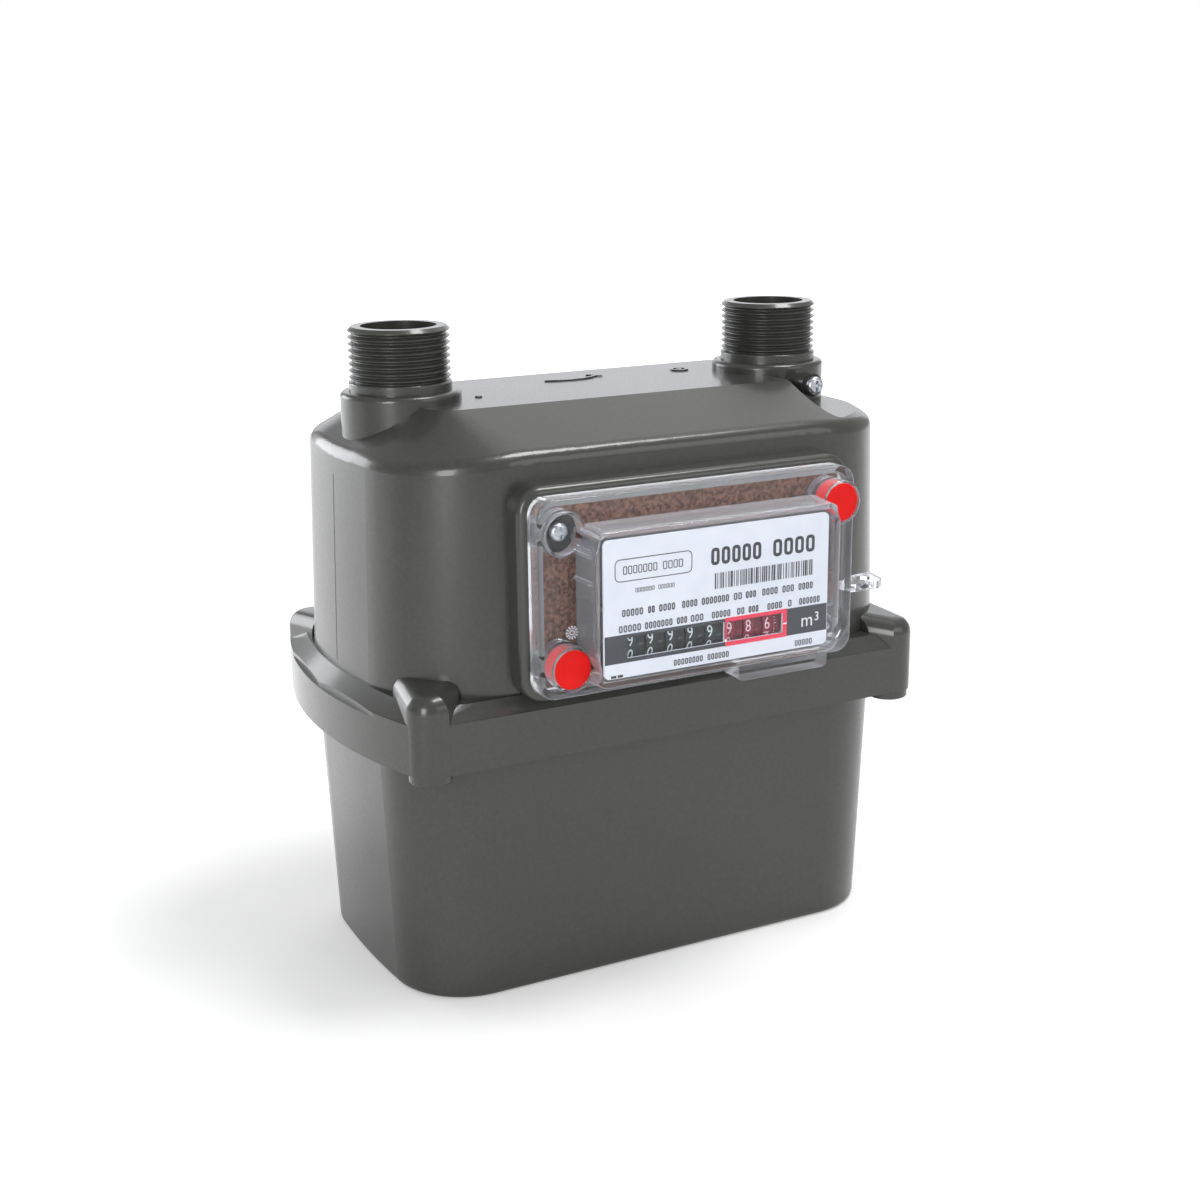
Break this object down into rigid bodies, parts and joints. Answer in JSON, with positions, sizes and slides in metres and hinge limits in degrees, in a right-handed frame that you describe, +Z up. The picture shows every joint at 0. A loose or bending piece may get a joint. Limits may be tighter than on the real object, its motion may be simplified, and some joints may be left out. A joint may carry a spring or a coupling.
{
  "type": "gas meter",
  "caption": "Domestic diaphragm gas meter: two-part die-cast case, two threaded top connections, clear-covered number-drum index.",
  "frame": {"origin": "centre of the base face of the lower casing, on the surface the meter stands on", "axes": "+Z up along the spigots, -Y out of the index face, +X to the right seen from the front (outlet side)"},
  "size_m": [0.2248, 0.1596, 0.234],
  "materials": {
    "case_paint": "satin olive-grey enamel on a die casting",
    "black_rubber": "matt",
    "zinc_steel": "bright zinc plate",
    "clear_cover": "clear polycarbonate",
    "cork_backing": "brown gasket sheet",
    "red_plastic": "bright red moulding",
    "white_dial": "printed white plate",
    "dark_plastic": "dark grey moulding",
    "steel_shaft": "ground",
    "white_gear": "natural acetal",
    "brass_bush": "turned",
    "chamber_plastic": "glass-filled moulding",
    "diaphragm_rubber": "rubberised cloth",
    "black_drum": "black drum with pale numerals",
    "red_drum": "red drum with pale numerals"
  },
  "bodies": {
    "casing": {"upper_case": "case_paint", "lower_case": "case_paint", "case_gasket": "black_rubber", "case_screws": "zinc_steel", "test_point_screw": "zinc_steel", "test_point_washer": "black_rubber", "index_cover": "clear_cover", "index_gasket": "cork_backing", "index_screws": "zinc_steel", "seal_plug_lower": "red_plastic", "seal_plug_upper": "red_plastic", "dial_plate": "white_dial", "index_frame": "dark_plastic", "drum_shaft": "steel_shaft", "pinion_shaft": "steel_shaft", "gland_bush": "brass_bush", "shaft_bracket": "dark_plastic", "measuring_chamber": "chamber_plastic", "valve_plate": "chamber_plastic", "flag_rod_seals": "black_rubber", "outlet_duct": "chamber_plastic", "front_chamber_cover": "chamber_plastic", "front_diaphragm": "diaphragm_rubber", "rear_chamber_cover": "chamber_plastic", "rear_diaphragm": "diaphragm_rubber"},
    "front_diaphragm_plate": {"front_diaphragm_plate": "dark_plastic"},
    "rear_diaphragm_plate": {"rear_diaphragm_plate": "dark_plastic"},
    "front_flag": {"front_flag": "steel_shaft", "front_flag_arm": "brass_bush"},
    "rear_flag": {"rear_flag": "steel_shaft", "rear_flag_arm": "brass_bush"},
    "front_crank_link": {"front_crank_link": "brass_bush"},
    "rear_crank_link": {"rear_crank_link": "brass_bush"},
    "front_slide_valve": {"front_slide_valve": "dark_plastic"},
    "rear_slide_valve": {"rear_slide_valve": "dark_plastic"},
    "crank": {"crankshaft": "steel_shaft", "crank_gear": "white_gear"},
    "drive_shaft": {"drive_shaft": "steel_shaft", "drive_shaft_gear": "white_gear", "index_pinion": "white_gear"},
    "number_drum_8": {"number_drum_8": "red_drum", "drum_gear": "white_gear", "pulse_magnet": "steel_shaft"},
    "number_drum_1": {"number_drum_1": "black_drum"},
    "transfer_pinion_1": {"transfer_pinion_1": "white_gear"},
    "number_drum_2": {"number_drum_2": "black_drum"},
    "transfer_pinion_2": {"transfer_pinion_2": "white_gear"},
    "number_drum_3": {"number_drum_3": "black_drum"},
    "transfer_pinion_3": {"transfer_pinion_3": "white_gear"},
    "number_drum_4": {"number_drum_4": "black_drum"},
    "transfer_pinion_4": {"transfer_pinion_4": "white_gear"},
    "number_drum_5": {"number_drum_5": "black_drum"},
    "transfer_pinion_5": {"transfer_pinion_5": "white_gear"},
    "number_drum_6": {"number_drum_6": "red_drum"},
    "transfer_pinion_6": {"transfer_pinion_6": "white_gear"},
    "number_drum_7": {"number_drum_7": "red_drum"},
    "transfer_pinion_7": {"transfer_pinion_7": "white_gear"}
  },
  "joints": [
    {"name": "crank_spin", "type": "hinge", "parent": "casing", "child": "crank", "pos_m": [0.037, 0, 0.12], "axis": [0, 0, 1], "continuous": true},
    {"name": "drive_shaft_spin", "type": "hinge", "parent": "casing", "child": "drive_shaft", "pos_m": [0.037, 0, 0.1343], "axis": [0, 1, 0], "continuous": true},
    {"name": "drum_8_spin", "type": "hinge", "parent": "casing", "child": "number_drum_8", "pos_m": [0.02165, -0.0802, 0.1343], "axis": [1, 0, 0], "continuous": true},
    {"name": "drum_7_spin", "type": "hinge", "parent": "casing", "child": "number_drum_7", "pos_m": [0.014, -0.0802, 0.1343], "axis": [1, 0, 0], "continuous": true},
    {"name": "pinion_7_spin", "type": "hinge", "parent": "casing", "child": "transfer_pinion_7", "pos_m": [0.018, -0.0802, 0.1457], "axis": [1, 0, 0], "continuous": true},
    {"name": "drum_6_spin", "type": "hinge", "parent": "casing", "child": "number_drum_6", "pos_m": [0.00635, -0.0802, 0.1343], "axis": [1, 0, 0], "continuous": true},
    {"name": "pinion_6_spin", "type": "hinge", "parent": "casing", "child": "transfer_pinion_6", "pos_m": [0.01035, -0.0802, 0.1457], "axis": [1, 0, 0], "continuous": true},
    {"name": "drum_5_spin", "type": "hinge", "parent": "casing", "child": "number_drum_5", "pos_m": [-0.0013, -0.0802, 0.1343], "axis": [1, 0, 0], "continuous": true},
    {"name": "pinion_5_spin", "type": "hinge", "parent": "casing", "child": "transfer_pinion_5", "pos_m": [0.0027, -0.0802, 0.1457], "axis": [1, 0, 0], "continuous": true},
    {"name": "drum_4_spin", "type": "hinge", "parent": "casing", "child": "number_drum_4", "pos_m": [-0.00895, -0.0802, 0.1343], "axis": [1, 0, 0], "continuous": true},
    {"name": "pinion_4_spin", "type": "hinge", "parent": "casing", "child": "transfer_pinion_4", "pos_m": [-0.00495, -0.0802, 0.1457], "axis": [1, 0, 0], "continuous": true},
    {"name": "drum_3_spin", "type": "hinge", "parent": "casing", "child": "number_drum_3", "pos_m": [-0.0166, -0.0802, 0.1343], "axis": [1, 0, 0], "continuous": true},
    {"name": "pinion_3_spin", "type": "hinge", "parent": "casing", "child": "transfer_pinion_3", "pos_m": [-0.0126, -0.0802, 0.1457], "axis": [1, 0, 0], "continuous": true},
    {"name": "drum_2_spin", "type": "hinge", "parent": "casing", "child": "number_drum_2", "pos_m": [-0.02425, -0.0802, 0.1343], "axis": [1, 0, 0], "continuous": true},
    {"name": "pinion_2_spin", "type": "hinge", "parent": "casing", "child": "transfer_pinion_2", "pos_m": [-0.02025, -0.0802, 0.1457], "axis": [1, 0, 0], "continuous": true},
    {"name": "drum_1_spin", "type": "hinge", "parent": "casing", "child": "number_drum_1", "pos_m": [-0.0319, -0.0802, 0.1343], "axis": [1, 0, 0], "continuous": true},
    {"name": "pinion_1_spin", "type": "hinge", "parent": "casing", "child": "transfer_pinion_1", "pos_m": [-0.0279, -0.0802, 0.1457], "axis": [1, 0, 0], "continuous": true},
    {"name": "front_diaphragm_travel", "type": "slide", "parent": "casing", "child": "front_diaphragm_plate", "axis": [0, 1, 0], "range_m": [-0.008, 0.008]},
    {"name": "front_flag_swing", "type": "hinge", "parent": "casing", "child": "front_flag", "pos_m": [-0.062, -0.014, 0.06], "axis": [0, 0, 1], "range_deg": [-12, 12]},
    {"name": "front_link_swing", "type": "hinge", "parent": "front_flag", "child": "front_crank_link", "pos_m": [-0.032, -0.014, 0.1146], "axis": [0, 0, 1], "range_deg": [-12, 12]},
    {"name": "front_valve_travel", "type": "slide", "parent": "casing", "child": "front_slide_valve", "axis": [1, 0, 0], "range_m": [-0.005, 0.005]},
    {"name": "rear_diaphragm_travel", "type": "slide", "parent": "casing", "child": "rear_diaphragm_plate", "axis": [0, 1, 0], "range_m": [-0.008, 0.008]},
    {"name": "rear_flag_swing", "type": "hinge", "parent": "casing", "child": "rear_flag", "pos_m": [-0.062, 0.014, 0.06], "axis": [0, 0, 1], "range_deg": [-12, 12]},
    {"name": "rear_link_swing", "type": "hinge", "parent": "rear_flag", "child": "rear_crank_link", "pos_m": [-0.032, 0.014, 0.1146], "axis": [0, 0, 1], "range_deg": [-12, 12]},
    {"name": "rear_valve_travel", "type": "slide", "parent": "casing", "child": "rear_slide_valve", "axis": [1, 0, 0], "range_m": [-0.005, 0.005]}
  ],
  "couplings": [
    {"joint": "drive_shaft_spin", "follows": "crank_spin", "ratio": -1},
    {"joint": "drum_8_spin", "follows": "crank_spin", "ratio": -0.2},
    {"joint": "drum_7_spin", "follows": "crank_spin", "ratio": -0.02},
    {"joint": "pinion_7_spin", "follows": "crank_spin", "ratio": 0.05},
    {"joint": "drum_6_spin", "follows": "crank_spin", "ratio": -0.002},
    {"joint": "pinion_6_spin", "follows": "crank_spin", "ratio": 0.005},
    {"joint": "drum_5_spin", "follows": "crank_spin", "ratio": -0.0002},
    {"joint": "pinion_5_spin", "follows": "crank_spin", "ratio": 0.0005},
    {"joint": "drum_4_spin", "follows": "crank_spin", "ratio": -0.00002},
    {"joint": "pinion_4_spin", "follows": "crank_spin", "ratio": 0.00005},
    {"joint": "drum_3_spin", "follows": "crank_spin", "ratio": -0.000002},
    {"joint": "pinion_3_spin", "follows": "crank_spin", "ratio": 0.000005},
    {"joint": "drum_2_spin", "follows": "crank_spin", "ratio": -0.0000002},
    {"joint": "pinion_2_spin", "follows": "crank_spin", "ratio": 0.0000005},
    {"joint": "drum_1_spin", "follows": "crank_spin", "ratio": -0.00000002},
    {"joint": "pinion_1_spin", "follows": "crank_spin", "ratio": 0.00000005},
    {"joint": "front_flag_swing", "follows": "front_diaphragm_travel", "rad_per_m": 25},
    {"joint": "front_link_swing", "follows": "front_diaphragm_travel", "rad_per_m": -25},
    {"joint": "front_valve_travel", "follows": "rear_diaphragm_travel", "ratio": 0.6},
    {"joint": "rear_flag_swing", "follows": "rear_diaphragm_travel", "rad_per_m": 25},
    {"joint": "rear_link_swing", "follows": "rear_diaphragm_travel", "rad_per_m": -25},
    {"joint": "rear_valve_travel", "follows": "front_diaphragm_travel", "ratio": 0.6}
  ]
}
